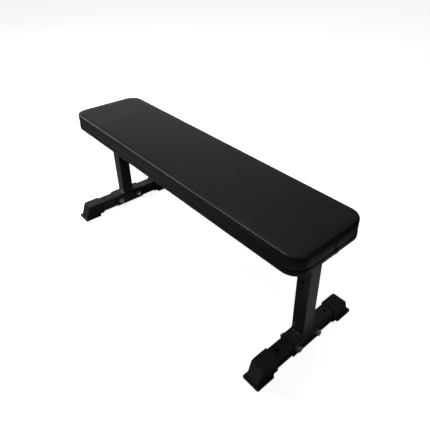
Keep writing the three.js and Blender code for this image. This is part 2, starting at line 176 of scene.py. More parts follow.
def make_floor():
    """A pale floor in two sheets: the camera sees one that is nearly white by itself, and the bench is
    lit by, and mirrors, one that takes the light and the bench's own shadow. That second sheet also has a
    pool of light painted into its colour, past the front left."""
    paper = Look("floor_paper", (0.86, 0.86, 0.86), 0.9)
    paper.set("Emission Color", (1, 1, 1, 1))
    paper.set("Emission Strength", 0.9)
    low, high = (-FLOOR_REACH, -FLOOR_REACH), (FLOOR_REACH, FLOOR_REACH)
    seen = make_sheet("floor", low, high, 0, paper)
    seen.visible_glossy = False
    seen.visible_diffuse = False
    seen.visible_shadow = False
    matt = Look("floor_bounce_painted_pool", (0.3, 0.31, 0.33), 1.0, specular=0.1)
    # Painted pool of light: the bounce floor's colour is paler near a point past the front left and darker away
    # from it, so the bench mirrors and takes more light there.
    away = matt.add("VectorMath", [(0, matt.coordinates())])
    away.operation = "DISTANCE"
    away.inputs[1].default_value = PAINTED_POOL_MIDDLE
    share = matt.remap(away.outputs["Value"], 0.2, 1.1, 1, 0)
    matt.color_from(matt.mix_color(share, (0.095, 0.105, 0.125), (0.27, 0.29, 0.31)))
    lit = make_sheet("floor_bounce", low, high, -0.001, matt)
    lit.visible_camera = False


def make_lamp(name, size, power, color=(1, 1, 1)):
    """A rectangular lamp that shines down its own -Z axis."""
    data = bpy.data.lights.new(name, "AREA")
    data.shape = "RECTANGLE"
    data.size, data.size_y = size
    data.energy = power
    data.color = color
    lamp = bpy.data.objects.new(name, data)
    scene.collection.objects.link(lamp)
    return lamp


def make_card(name, middle, size, power, color):
    """A small glowing card that lies on the floor and faces up, out of the camera's sight."""
    card = make_lamp(name, size, power, color)
    card.location = (*middle, 0.002)
    card.rotation_euler = (math.pi, 0, 0)
    card.visible_camera = False


def make_edge_strip():
    """A bright strip along the bench, which draws the thin line on the front edge of the pad."""
    place = Vector((-1.5, -1.1, 2.25))
    back = (place - Vector((0, -0.13, 0.44))).normalized()
    along = Vector((1, 0, 0))
    along = (along - back * along.dot(back)).normalized()
    turn = Matrix((along, back.cross(along), back)).transposed()
    strip = make_lamp("edge_strip", (3.4, 0.22), 66, (0.93, 0.97, 1))
    strip.matrix_world = Matrix.Translation(place) @ turn.to_4x4()


def make_flag():
    """A black flag in the air past the pad's front edge, which keeps the edge strip off the right foot."""
    black = Look("flag_black", (0, 0, 0), 1.0, specular=0)
    flag = make_sheet("flag", (-0.12, -0.85), (0.85, -0.27), 0.62, black)
    flag.visible_camera = False
    flag.visible_diffuse = False
    flag.visible_glossy = False


def make_dome():
    """What the camera sees past the floor: a white dome, which lights nothing and shades nothing."""
    mesh = bpy.data.meshes.new("dome")
    form = bmesh.new()
    bmesh.ops.create_uvsphere(form, u_segments=48, v_segments=24, radius=DOME_RADIUS)
    form.to_mesh(mesh)
    form.free()
    paint = Look("dome_white", (0, 0, 0), 1.0, specular=0)
    paint.set("Emission Color", (1, 1, 1, 1))
    paint.set("Emission Strength", 1.0)
    mesh.materials.append(paint.material)
    dome = bpy.data.objects.new("dome", mesh)
    scene.collection.objects.link(dome)
    dome.visible_diffuse = False
    dome.visible_glossy = False
    dome.visible_transmission = False
    dome.visible_shadow = False


def make_world():
    """A ring of soft light low round the horizon, and dark above it and below."""
    world = bpy.data.worlds.new("studio")
    scene.world = world
    world.use_nodes = True
    tree = world.node_tree
    background = tree.nodes["Background"]
    place = tree.nodes.new("ShaderNodeTexCoord")
    split = tree.nodes.new("ShaderNodeSeparateXYZ")
    ramp = tree.nodes.new("ShaderNodeValToRGB")
    tree.links.new(place.outputs["Generated"], split.inputs[0])
    tree.links.new(split.outputs["Z"], ramp.inputs[0])
    tree.links.new(ramp.outputs["Color"], background.inputs["Color"])
    elements = ramp.color_ramp.elements
    while len(elements) < len(HORIZON_GLOW):
        elements.new(0.5)
    for element, (elevation, grey) in zip(elements, HORIZON_GLOW):
        element.position = math.sin(math.radians(elevation))
        element.color = (grey, grey, grey * 1.02, 1)
    background.inputs["Strength"].default_value = 1.0


def direction(azimuth, elevation):
    """Azimuth 0 is the front (-Y), and 90 is the right (+X)."""
    azimuth, elevation = math.radians(azimuth), math.radians(elevation)
    flat = math.cos(elevation)
    return Vector((math.sin(azimuth) * flat, -math.cos(azimuth) * flat, math.sin(elevation)))


def make_softbox(name, azimuth, elevation, power):
    towards = direction(azimuth, elevation)
    light = make_lamp(name, (1.2, 0.8), power)
    light.location = Vector((0, 0, 0.3)) + 3.0 * towards
    light.rotation_euler = (-towards).to_track_quat("-Z", "Y").to_euler()


def make_studio():
    scene.view_settings.view_transform = "Standard"
    scene.view_settings.look = "None"
    make_camera()
    make_floor()
    make_dome()
    make_world()
    make_softbox("key_left", 247, 60, 4.7)
    make_softbox("softbox_right", 90, 46, 5.2)
    make_softbox("softbox_front", 45, 56, 5.0)
    make_softbox("strip_left", 247, 12, 2.6)
    make_softbox("strip_behind", 225, 20, 2.05)
    make_softbox("strip_end", 270, 16, 1.3)
    make_softbox("softbox_behind", 202, 60, 1.35)
    make_softbox("strip_back", 202, 28, 1.2)
    make_edge_strip()
    make_flag()
    make_card("card_end", (0.725, 0.05), (0.3, 0.9), 0.21, (1, 1, 1))
    make_card("card_front", (0.5, -0.34), (0.24, 0.24), 0.07, (0.78, 0.9, 1))


# ---------------------------------------------------------------- materials

class Look:
    """One Principled material, and the procedural detail that is added to it."""

    def __init__(self, name, color, roughness, metallic=0.0, specular=0.5):
        self.material = bpy.data.materials.new(name)
        self.material.use_nodes = True
        self.tree = self.material.node_tree
        self.shader = self.tree.nodes["Principled BSDF"]
        self.set("Base Color", (*color, 1))
        self.set("Roughness", roughness)
        self.set("Metallic", metallic)
        self.set("Specular IOR Level", specular)
        self.material.diffuse_color = (*color, 1)
        self.place = None

    def set(self, socket, value):
        self.shader.inputs[socket].default_value = value

    def add(self, kind, links=(), **inputs):
        """Adds a node, sets its inputs by name and links (input, output) pairs into it."""
        node = self.tree.nodes.new("ShaderNode" + kind)
        for key, value in inputs.items():
            node.inputs[key.replace("_", " ")].default_value = value
        for key, output in links:
            self.tree.links.new(output, node.inputs[key])
        return node

    def coordinates(self, stretch=(1, 1, 1)):
        if self.place is None:
            self.place = self.add("TexCoord").outputs["Object"]
        if tuple(stretch) == (1, 1, 1):
            return self.place
        mapping = self.add("Mapping", [("Vector", self.place)])
        mapping.inputs["Scale"].default_value = stretch
        return mapping.outputs["Vector"]

    def noise(self, scale, detail=2.0, roughness=0.5, stretch=(1, 1, 1)):
        node = self.add("TexNoise", [("Vector", self.coordinates(stretch))], Scale=scale, Detail=detail)
        node.inputs["Roughness"].default_value = roughness
        return node.outputs[0]

    def cells(self, scale, feature="F1", stretch=(1, 1, 1)):
        node = self.add("TexVoronoi", [("Vector", self.coordinates(stretch))], Scale=scale)
        node.feature = feature
        return node.outputs["Distance"]

    def remap(self, value, low, high, new_low, new_high):
        node = self.add("MapRange", [("Value", value)])
        for key, number in zip(("From Min", "From Max", "To Min", "To Max"), (low, high, new_low, new_high)):
            node.inputs[key].default_value = number
        return node.outputs["Result"]

    def mix_color(self, factor, first, second):
        """first and second are colours, or outputs that carry a colour."""
        node = self.tree.nodes.new("ShaderNodeMix")
        node.data_type = "RGBA"
        self.tree.links.new(factor, node.inputs["Factor"])
        for socket, value in ((node.inputs[6], first), (node.inputs[7], second)):
            if isinstance(value, tuple):
                socket.default_value = (*value, 1)
            else:
                self.tree.links.new(value, socket)
        return node.outputs[2]

    def color_from(self, output):
        self.tree.links.new(output, self.shader.inputs["Base Color"])

    def roughness_from(self, output):
        self.tree.links.new(output, self.shader.inputs["Roughness"])

    def bump(self, height, distance, strength):
        """Adds a layer of relief on top of what is there."""
        node = self.add("Bump", [("Height", height)], Distance=distance, Strength=strength)
        normal = self.shader.inputs["Normal"]
        if normal.is_linked:
            self.tree.links.new(normal.links[0].from_socket, node.inputs["Normal"])
        self.tree.links.new(node.outputs["Normal"], normal)


def vinyl_look(name="vinyl"):
    """Black upholstery vinyl: an embossed leather grain over a satin surface."""
    look = Look(name, (0.0055, 0.0055, 0.006), 0.42, specular=0.4)
    patches = look.noise(9, 3, 0.55)
    look.color_from(look.mix_color(patches, (0.0042, 0.0043, 0.0047), (0.0070, 0.0071, 0.0076)))
    look.roughness_from(look.remap(look.noise(55, 4, 0.6), 0.3, 0.7, 0.37, 0.47))
    pebbles = look.cells(620, "SMOOTH_F1")
    look.bump(pebbles, 0.00025, 0.32)
    look.bump(look.noise(2600, 2, 0.6), 0.0001, 0.25)
    look.bump(look.noise(14, 2, 0.5), 0.0022, 0.10)
    return look.material


def powder_coat_look():
    """Satin black powder coat, with the faint orange peel that it cures to."""
    look = Look("powder_coat", (0.006, 0.006, 0.007), 0.34, specular=0.7)
    drift = look.noise(18, 3, 0.6)
    look.color_from(look.mix_color(drift, (0.0048, 0.0048, 0.0058), (0.0080, 0.0080, 0.0092)))
    look.roughness_from(look.remap(look.noise(140, 3, 0.6), 0.3, 0.7, 0.31, 0.43))
    look.bump(look.noise(420, 2, 0.45), 0.0003, 0.22)
    look.bump(look.noise(2400, 2, 0.5), 0.00008, 0.25)
    return look.material


def zinc_look():
    """Bright zinc plate: pale, slightly cloudy, with faint blue and straw tints."""
    look = Look("zinc_plate", (0.85, 0.86, 0.88), 0.26, metallic=1.0)
    tint = look.noise(160, 3, 0.6)
    look.color_from(look.mix_color(tint, (0.80, 0.83, 0.88), (0.93, 0.91, 0.86)))
    look.roughness_from(look.remap(look.noise(900, 3, 0.6), 0.3, 0.7, 0.20, 0.34))
    look.bump(look.noise(3000, 2, 0.5), 0.00004, 0.3)
    return look.material


def rubber_look():
    """Moulded black rubber: matt, with a fine spark-eroded texture and dusty patches."""
    look = Look("cap_rubber", (0.010, 0.010, 0.010), 0.55, specular=0.45)
    dust = look.noise(45, 5, 0.65)
    look.color_from(look.mix_color(dust, (0.008, 0.008, 0.0082), (0.016, 0.016, 0.0164)))
    look.roughness_from(look.remap(look.noise(260, 3, 0.6), 0.3, 0.7, 0.48, 0.64))
    look.bump(look.noise(1700, 3, 0.6), 0.00012, 0.45)
    return look.material


def plastic_look():
    """Black moulded plastic of the tube end plugs."""
    look = Look("plug_plastic", (0.016, 0.016, 0.016), 0.5)
    look.color_from(look.mix_color(look.noise(60, 3, 0.6), (0.013, 0.013, 0.013), (0.021, 0.021, 0.022)))
    look.roughness_from(look.remap(look.noise(500, 2, 0.5), 0.3, 0.7, 0.42, 0.58))
    look.bump(look.noise(1500, 2, 0.5), 0.0001, 0.35)
    return look.material


def lining_look():
    """Black non-woven cloth: random fibres pressed with a small dotted pattern."""
    look = Look("lining_cloth", (0.014, 0.014, 0.015), 0.92, specular=0.2)
    fibres = look.noise(900, 5, 0.7, stretch=(1, 3, 1))
    look.color_from(look.mix_color(fibres, (0.008, 0.008, 0.009), (0.026, 0.026, 0.027)))
    look.bump(look.cells(420), 0.0003, 0.5)
    look.bump(fibres, 0.0002, 0.5)
    return look.material


def plywood_look():
    """Bare plywood: long grain on the faces."""
    look = Look("plywood", (0.45, 0.31, 0.18), 0.75, specular=0.3)
    grain = look.noise(60, 6, 0.6, stretch=(0.08, 1, 6))
    look.color_from(look.mix_color(grain, (0.36, 0.23, 0.12), (0.58, 0.42, 0.25)))
    look.bump(grain, 0.0003, 0.3)
    return look.material


def foam_look():
    """Open-cell foam."""
    look = Look("foam", (0.62, 0.56, 0.38), 0.95, specular=0.1)
    look.color_from(look.mix_color(look.noise(300, 3, 0.6), (0.55, 0.49, 0.32), (0.70, 0.64, 0.45)))
    look.bump(look.cells(900), 0.0004, 0.8)
    return look.material


def thread_look():
    """Twisted black polyester thread."""
    look = Look("thread", (0.012, 0.012, 0.013), 0.6, specular=0.35)
    twist = look.noise(4000, 1, 0.5, stretch=(1, 1, 3))
    look.color_from(look.mix_color(twist, (0.008, 0.008, 0.009), (0.022, 0.022, 0.024)))
    look.bump(twist, 0.0001, 0.5)
    return look.material


def weld_look():
    """Powder coat over a weld: thicker and glossier, so that the ripples still show."""
    look = Look("coated_weld", (0.012, 0.012, 0.013), 0.28, specular=0.8)
    look.color_from(look.mix_color(look.noise(300, 3, 0.6), (0.009, 0.009, 0.0105), (0.018, 0.018, 0.0195)))
    look.bump(look.noise(1100, 3, 0.6), 0.0002, 0.4)
    return look.material


def nylon_look():
    """The blue nylon of a lock nut."""
    look = Look("nylon", (0.05, 0.10, 0.28), 0.45)
    look.color_from(look.mix_color(look.noise(700, 2, 0.5), (0.04, 0.085, 0.24), (0.06, 0.12, 0.31)))
    look.bump(look.noise(2000, 2, 0.5), 0.0001, 0.3)
    return look.material


LOOKS = {
    "vinyl": vinyl_look(),
    "frame_steel": powder_coat_look(),
    "zinc": zinc_look(),
    "cap_rubber": rubber_look(),
    "plug_plastic": plastic_look(),
    "lining": lining_look(),
    "board": plywood_look(),
    "foam": foam_look(),
    "thread": thread_look(),
    "weld": weld_look(),
    "nylon": nylon_look(),
}


# ---------------------------------------------------------------- mesh helpers

def faces_out(points, faces):
    """The same faces, all turned round if they face into the body."""
    points = points - points.mean(axis=0)
    volume = 0.0
    for face in faces:
        corner, *others = points[list(face)]
        for first, second in zip(others, others[1:]):
            volume += corner @ np.cross(first, second)
    return faces if volume >= 0 else [tuple(reversed(face)) for face in faces]


def make_piece(name, points, faces, look, slot):
    mesh = bpy.data.meshes.new(name)
    mesh.from_pydata([tuple(map(float, p)) for p in points], [], faces)
    mesh.validate()
    mesh.materials.append(LOOKS[look])
    mesh.polygons.foreach_set("use_smooth", [True] * len(mesh.polygons))
    piece = bpy.data.objects.new(name, mesh)
    scene.collection.objects.link(piece)
    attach(piece, "root")
    return piece


def join_rows(row, count):
    """The quads between a row of points that goes once round and the next row."""
    first, second = row * count, (row + 1) * count
    pairs = [(k, (k + 1) % count) for k in range(count)]
    return [(first + k, first + after, second + after, second + k) for k, after in pairs]


def grid_faces(grid, upward):
    """The quads of a grid of point numbers."""
    faces = []
    for i in range(grid.shape[0] - 1):
        for j in range(grid.shape[1] - 1):
            face = tuple(int(k) for k in (grid[i, j], grid[i + 1, j], grid[i + 1, j + 1], grid[i, j + 1]))
            faces.append(face if upward else face[::-1])
    return faces


def skin_rows(rows, closed=False):
    """A closed surface through rows of points that each go once round: capped at both ends, or joined."""
    count = len(rows[0])
    faces = []
    total = len(rows) * count
    for r in range(len(rows) - 1):
        faces += join_rows(r, count)
    if closed:
        faces += [tuple(k % total for k in face) for face in join_rows(len(rows) - 1, count)]
    else:
        faces.append(tuple(reversed(range(count))))
        faces.append(tuple(range(total - count, total)))
    points = np.vstack(rows)
    return points, faces_out(points, faces)


def gather(parts):
    """Several (points, faces) pairs as one."""
    points, faces, first = [], [], 0
    for part_points, part_faces in parts:
        points.append(part_points)
        faces += [tuple(k + first for k in face) for face in part_faces]
        first += len(part_points)
    return np.vstack(points), faces


def crisp(piece, angle):
    """Splits the shading at edges sharper than an angle in degrees."""
    piece.data.set_sharp_from_angle(angle=math.radians(angle))


def read_vectors(elements, key):
    flat = np.zeros(len(elements) * 3)
    elements.foreach_get(key, flat)
    return flat.reshape(-1, 3)


def upright(outs):
    """Directions in the plane as directions in space."""
    return np.column_stack([outs, np.zeros(len(outs))])


# ---------------------------------------------------------------- pad cover

class Outline:
    """A rounded rectangle as columns: a foot on the inner rectangle and an outward direction for each.

    The columns run counter-clockwise from the middle of the front left corner. The front and back have
    `across` columns each, the two ends `deep`. A point at an inset is foot + out * (radius - inset)."""

    def __init__(self, length, width, radius, step, end_seam):
        self.radius = radius
        inner_x = length / 2 - radius
        inner_y = width / 2 - radius
        turns = max(3, round(radius * math.pi / 4 / step * 1.6))
        long_side = np.linspace(-inner_x, inner_x, round(2 * inner_x / step) + 1)
        fine = end_seam + np.array(END_COLUMNS)
        short_side = np.linspace(-inner_y, inner_y, round(2 * inner_y / step) + 1)
        from_seam = short_side - end_seam
        short_side = short_side[(from_seam < -END_CLEAR_FRONT) | (from_seam > END_CLEAR_BACK)]
        short_side = np.sort(np.concatenate([short_side, fine]))
        feet, outs = [], []
        for quarter, along in enumerate((long_side, short_side, long_side[::-1], short_side[::-1])):
            middle = math.radians(-90 + 90 * quarter)
            normal = np.array([math.cos(middle), math.sin(middle)])
            places = [
                (s, normal[1] * inner_y) if quarter % 2 == 0 else (normal[0] * inner_x, s) for s in along
            ]
            arc = np.linspace(math.radians(45), 0, turns + 1)[:-1]
            for angle in arc:
                feet.append(places[0])
                outs.append((math.cos(middle - angle), math.sin(middle - angle)))
            for place in places:
                feet.append(place)
                outs.append(tuple(normal))
            for angle in arc[::-1][:-1]:
                feet.append(places[-1])
                outs.append((math.cos(middle + angle), math.sin(middle + angle)))
        self.feet = np.array(feet)
        self.outs = np.array(outs)
        self.across = len(long_side) - 1 + 2 * turns
        self.deep = len(short_side) - 1 + 2 * turns
        self.count = len(feet)

    def ring(self, inset, height):
        flat = self.feet + self.outs * (self.radius - inset)
        return np.column_stack([flat, np.full(self.count, height)])

    def sheet(self, edge):
        """A grid of points that spans a ring: a Coons patch between its four sides."""
        front = edge[: self.across + 1]
        right = edge[self.across : self.across + self.deep + 1]
        back = edge[self.across + self.deep : 2 * self.across + self.deep + 1][::-1]
        left = np.vstack([edge[2 * self.across + self.deep :], edge[:1]])[::-1]
        u = ((front[:, 0] - front[0, 0]) / (front[-1, 0] - front[0, 0]))[:, None, None]
        v = ((left[:, 1] - left[0, 1]) / (left[-1, 1] - left[0, 1]))[None, :, None]
        lengthwise = (1 - v) * front[:, None] + v * back[:, None]
        crosswise = (1 - u) * left[None] + u * right[None]
        corners = (
            (1 - u) * (1 - v) * front[0] + u * (1 - v) * front[-1] + (1 - u) * v * back[0] + u * v * back[-1]
        )
        return lengthwise + crosswise - corners

    def sheet_indices(self, first_of_ring, first_inside):
        """Point numbers of that grid, where the ring and the inside points are stored one after another."""
        grid = np.zeros((self.across + 1, self.deep + 1), int)
        a, d = self.across, self.deep
        grid[:, 0] = first_of_ring + np.arange(a + 1)
        grid[a, :] = first_of_ring + a + np.arange(d + 1)
        grid[:, d] = first_of_ring + (a + d + np.arange(a + 1))[::-1]
        grid[0, :] = first_of_ring + ((2 * a + d + np.arange(d + 1)) % self.count)[::-1]
        grid[1:a, 1:d] = first_inside + np.arange((a - 1) * (d - 1)).reshape(a - 1, d - 1)
        return grid


def ease(share):
    """0 to 1 with a soft start and a soft end."""
    share = min(1.0, max(0.0, share))
    return share * share * (3 - 2 * share)


def pad_profile(low, high):
    """Rings from the mouth under the board, round the bottom edge, up the side and over the top edge,
    as (inset, height). The vinyl that is folded under the board makes a low hem along the edge, and the
    strip beside the board stands a little proud. The rings are close together at the seam and the crease."""
    seam = high - SEAM_DROP
    crease = low + BOARD_LEVEL
    bottom = low - HEM_DROP
    rings = []
    for inset in np.linspace(COVER_WRAP, PAD_BOTTOM_ROUND - STRIP_OUT + 0.002, 8):
        rings.append((inset, low - HEM_DROP * ease((HEM_WIDTH - inset) / 0.009)))
    for angle in np.linspace(0, 90, 4):
        turn = math.radians(angle)
        inset = PAD_BOTTOM_ROUND * (1 - math.sin(turn)) - STRIP_OUT
        rings.append((inset, bottom + PAD_BOTTOM_ROUND * (1 - math.cos(turn))))
    marks = [crease + s * CREASE_WIDTH for s in (-1.6, -0.7, 0, 0.7, 1.6)]
    marks += [seam + s * SEAM_WIDTH for s in (-2.6, -1.4, -0.7, 0, 0.7, 1.4)]
    plain = np.arange(bottom + PAD_BOTTOM_ROUND + 0.004, high - PAD_TOP_ROUND, 0.005)
    plain = [z for z in plain if min(abs(z - m) for m in marks) > 0.0025]
    start = high - PAD_TOP_ROUND
    for z in sorted(marks + plain):
        past = max(0.0, z - start) / PAD_TOP_ROUND
        proud = STRIP_OUT * ease((crease + 0.002 - z) / 0.004)
        rings.append((PAD_TOP_ROUND * (1 - math.sqrt(1 - past * past)) - proud, z))
    first_turn = math.degrees(math.asin(max(0.0, rings[-1][1] - start) / PAD_TOP_ROUND)) + 9
    for angle in np.linspace(first_turn, 90, 6):
        turn = math.radians(angle)
        rings.append((PAD_TOP_ROUND * (1 - math.cos(turn)), start + PAD_TOP_ROUND * math.sin(turn)))
    return rings


def swell(piece, weights):
    """Cloth simulation: pressure inside the skin pushes it out against its own tension. `weights` says how
    firmly each point is held by what is sewn or stapled there. Returns each point's movement."""
    mesh = piece.data
    rest = read_vectors(mesh.vertices, "co")
    group = piece.vertex_groups.new(name="held")
    for level in np.unique(weights):
        group.add([int(i) for i in np.flatnonzero(weights == level)], float(level), "REPLACE")
    cloth = piece.modifiers.new("cloth", "CLOTH")
    settings = cloth.settings
    settings.quality = 6
    settings.mass = 0.25
    settings.tension_stiffness = 30
    settings.compression_stiffness = 30
    settings.shear_stiffness = 15
    settings.bending_stiffness = 3
    settings.vertex_group_mass = "held"
    settings.use_pressure = True
    settings.uniform_pressure_force = 4
    settings.effector_weights.gravity = 0
    cloth.collision_settings.use_collision = False
    cloth.point_cache.frame_start = 1
    cloth.point_cache.frame_end = 20
    for step in range(1, 21):
        scene.frame_set(step)
    settled = piece.evaluated_get(bpy.context.evaluated_depsgraph_get()).to_mesh()
    moved = read_vectors(settled.vertices, "co") - rest
    piece.modifiers.remove(cloth)
    piece.vertex_groups.remove(group)
    scene.frame_set(1)
    return moved


def foam_backed(mesh, moved):
    """The foam behind the skin lets it swell square to its surface only, and no further than the cap."""
    points = read_vectors(mesh.vertices, "co")
    normals = read_vectors(mesh.vertices, "normal")
    limit = SIDE_SWELL_CAP + (TOP_SWELL_CAP - SIDE_SWELL_CAP) * np.clip(normals[:, 2], 0, 1)
    swelling = np.clip((moved * normals).sum(axis=1), 0, None)
    swelling = limit * np.tanh(swelling / limit)
    edges = np.zeros(len(mesh.edges) * 2, int)
    mesh.edges.foreach_get("vertices", edges)
    first, second = edges.reshape(-1, 2).T
    count = np.bincount(first, minlength=len(points)) + np.bincount(second, minlength=len(points))
    for _ in range(SWELL_SMOOTHING):
        around = np.bincount(first, swelling[second], len(points))
        around += np.bincount(second, swelling[first], len(points))
        swelling = 0.5 * swelling + 0.5 * around / count
    return points + normals * swelling[:, None]


def groove(distance, width, depth):
    return depth * np.exp(-((distance / width) ** 2))


def hold_weights(points, high, seam, crease):
    """How firmly each point of the skin is held: loose over the foam, firmer towards the sewn edge, firm at
    the seam and fast below the crease, where the skin is stapled round the board."""
    from_end = high.x - PAD_START_SHRINK - np.abs(points[:, 0])
    from_side = high.y - PAD_START_SHRINK - np.abs(points[:, 1])
    edge = np.clip(np.minimum(from_end, from_side), 0, None)
    heights = points[:, 2]
    weights = np.round(0.12 * np.exp(-edge / 0.008), 3) + 0.012
    weights = np.where(heights < seam, 0.004, weights)
    weights = np.where(np.abs(heights - seam) < 0.0015, 0.5, weights)
    return np.where(heights < crease, 1.0, weights)


def sew(outline, profile, points, low, seam, crease):
    """Pulls the skin in along each sewn line, square to the pad's side, lets the tuck stand out, and gathers
    the vinyl in pleats under the corners. Returns the number of the point in the middle of the tuck."""
    heights = np.repeat([height for _, height in profile], outline.count)
    outs = np.tile(outline.outs, (len(profile), 1))
    feet = np.tile(outline.feet, (len(profile), 1))
    sides = slice(0, len(heights))
    on_right = outs[:, 0] > 0.999
    in_band = np.clip((heights - crease) / 0.004, 0, 1) * np.clip((seam - heights) / 0.003, 0, 1)
    pull = groove(heights - seam, SEAM_WIDTH, SEAM_DEPTH) + groove(heights - crease, CREASE_WIDTH, CREASE_DEPTH)
    pull += on_right * in_band * groove(feet[:, 1] - END_SEAM_Y, END_SEAM_WIDTH, END_SEAM_DEPTH)
    along, above = feet[:, 1] - TUCK_Y, heights - low - TUCK_LEVEL
    pull -= on_right * groove(along, TUCK_WIDTH, TUCK_HEIGHT) * groove(above, TUCK_WIDTH, 1)
    points[sides, :2] -= outs * pull[:, None]
    bend = np.degrees(np.arctan2(outs[:, 1], outs[:, 0])) % 90
    gathered = (heights <= low - 0.5 * HEM_DROP) * np.sin(np.radians(bend * 2)) ** 2
    points[sides, 2] -= PLEAT_DEPTH * gathered * (0.5 + 0.5 * np.cos(np.radians(bend * 40)))
    return int(np.argmin(np.hypot(along, above) + 1 - on_right))


def build_pad():
    """The cushion: the vinyl skin, the foam in it, and its stitches and staples."""
    low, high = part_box("pad_cover")
    shrink = PAD_START_SHRINK
    length, width = high.x - low.x - 2 * shrink, high.y - low.y - 2 * shrink
    top = high.z - 2 * shrink
    seam, crease = top - SEAM_DROP, low.z + BOARD_LEVEL
    outline = Outline(length, width, PAD_CORNER - shrink, PAD_STEP, END_SEAM_Y)
    profile = pad_profile(low.z, top)
    rings = [outline.ring(inset, height) for inset, height in profile]
    first_top = len(rings) * outline.count
    first_floor = first_top + (outline.across - 1) * (outline.deep - 1)
    inside = [outline.sheet(ring)[1:-1, 1:-1].reshape(-1, 3) for ring in (rings[-1], rings[0])]
    faces = []
    for r in range(len(rings) - 1):
        faces += join_rows(r, outline.count)
    faces += grid_faces(outline.sheet_indices(first_top - outline.count, first_top), True)
    under = grid_faces(outline.sheet_indices(0, first_floor), False)
    blank = make_piece("pad_blank", np.vstack([*rings, *inside]), faces + under, "vinyl", "vinyl")
    points = read_vectors(blank.data.vertices, "co")
    points = foam_backed(blank.data, swell(blank, hold_weights(points, high, seam, crease)))
    bpy.data.objects.remove(blank)
    tuck = sew(outline, profile, points, low.z, seam, crease)
    build_cover(points[:first_floor], faces)
    build_foam(outline, points, profile, first_top)
    build_stitches(outline, points, profile, seam)
    build_staples(points[tuck])


def build_cover(points, faces):
    cover = make_piece("pad_cover_skin", points, faces, "vinyl", "vinyl")
    thick = cover.modifiers.new("thickness", "SOLIDIFY")
    thick.thickness = COVER_THICKNESS
    thick.offset = -1
    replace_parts(cover, "pad_cover")


def build_foam(outline, points, profile, first_top):
    """The foam fills the cover from the board up, so it has the skin's shape, a skin's thickness smaller."""
    board_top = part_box("pad_foam")[0].z
    n = outline.count
    inset = COVER_THICKNESS + SKIN_GAP
    top_height = profile[-1][1]
    rows = []
    for r, (_, height) in enumerate(profile):
        if height > board_top + 0.001:
            row = points[r * n : (r + 1) * n] - upright(outline.outs) * inset
            row[:, 2] -= inset * np.clip((height - top_height) / PAD_TOP_ROUND + 1, 0, 1)
            rows.append(row)
    foot = rows[0].copy()
    foot[:, 2] = board_top
    rows.insert(0, foot)
    top = points[first_top : first_top + (outline.across - 1) * (outline.deep - 1)].copy()
    top[:, 2] -= inset
    sole = outline.sheet(foot)[1:-1, 1:-1].reshape(-1, 3)
    count = len(rows) * n
    faces = []
    for r in range(len(rows) - 1):
        faces += join_rows(r, n)
    faces += grid_faces(outline.sheet_indices(count - n, count), True)
    faces += grid_faces(outline.sheet_indices(0, count + len(top)), False)
    foam = make_piece("foam_block", np.vstack([*rows, top, sole]), faces, "foam", "foam")
    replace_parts(foam, "pad_foam")


# ---------------------------------------------------------------- stitches and staples

class Track:
    """A closed run of points with an outward direction at each, read by distance along it."""

    def __init__(self, points, outs):
        self.points = np.vstack([points, points[:1]])
        self.outs = np.vstack([outs, outs[:1]])
        steps = np.linalg.norm(np.diff(self.points, axis=0), axis=1)
        self.distance = np.concatenate([[0], np.cumsum(steps)])
        self.length = self.distance[-1]

    def at(self, distance):
        distance = distance % self.length
        place = np.array([np.interp(distance, self.distance, self.points[:, k]) for k in range(3)])
        out = np.array([np.interp(distance, self.distance, self.outs[:, k]) for k in range(3)])
        return place, out / np.linalg.norm(out)


def round_bar(places, outs, up, radius, sides=6):
    """A thin round bar through places, with its section set by outs and up."""
    rows = []
    for place, out, size in zip(places, outs, radius):
        turns = [2 * math.pi * k / sides for k in range(sides)]
        rows.append([place + size * (math.cos(t) * out + math.sin(t) * up) for t in turns])
    return skin_rows([np.array(row) for row in rows])


def build_stitches(outline, points, profile, seam):
    """Lock stitches just under the top seam, all round the band."""
    n = outline.count
    heights = np.array([height for _, height in profile])
    ring = int(np.argmin(np.abs(heights - (seam - STITCH_DROP))))
    track = Track(points[ring * n : (ring + 1) * n], upright(outline.outs))
    count = int(track.length / STITCH_PITCH)
    up = np.array([0, 0, 1.0])
    shape = ((-0.5, -0.6, 0.7), (-0.38, 0.35, 1), (0.0, 0.75, 1), (0.38, 0.35, 1), (0.5, -0.6, 0.7))
    stitches = []
    for k in range(count):
        centre = (k + 0.5) * track.length / count
        places, directions, sizes = [], [], []
        for share, lift, size in shape:
            place, out = track.at(centre + share * STITCH_LENGTH)
            places.append(place + out * (STITCH_RADIUS * lift))
            directions.append(out)
            sizes.append(STITCH_RADIUS * size)
        stitches.append(round_bar(places, directions, up, sizes))
    make_piece("band_stitches", *gather(stitches), "thread", "vinyl")


def staple(middle, along, out):
    """A wire staple: a flat crown with its two legs driven in."""
    half, bend, rise = STAPLE_LENGTH / 2, STAPLE_WIRE / 5, STAPLE_RISE
    shape = ((-half, -STAPLE_LEG), (-half, bend), (-half * 0.9, rise))
    shape += ((half * 0.9, rise), (half, bend), (half, -STAPLE_LEG))
    places = [middle + along * run + out * height for run, height in shape]
    slants = [along, (along + out) / 1.414, out, out, (out - along) / 1.414, -along]
    return round_bar(places, slants, np.cross(along, out), [STAPLE_WIRE] * len(places), sides=8)


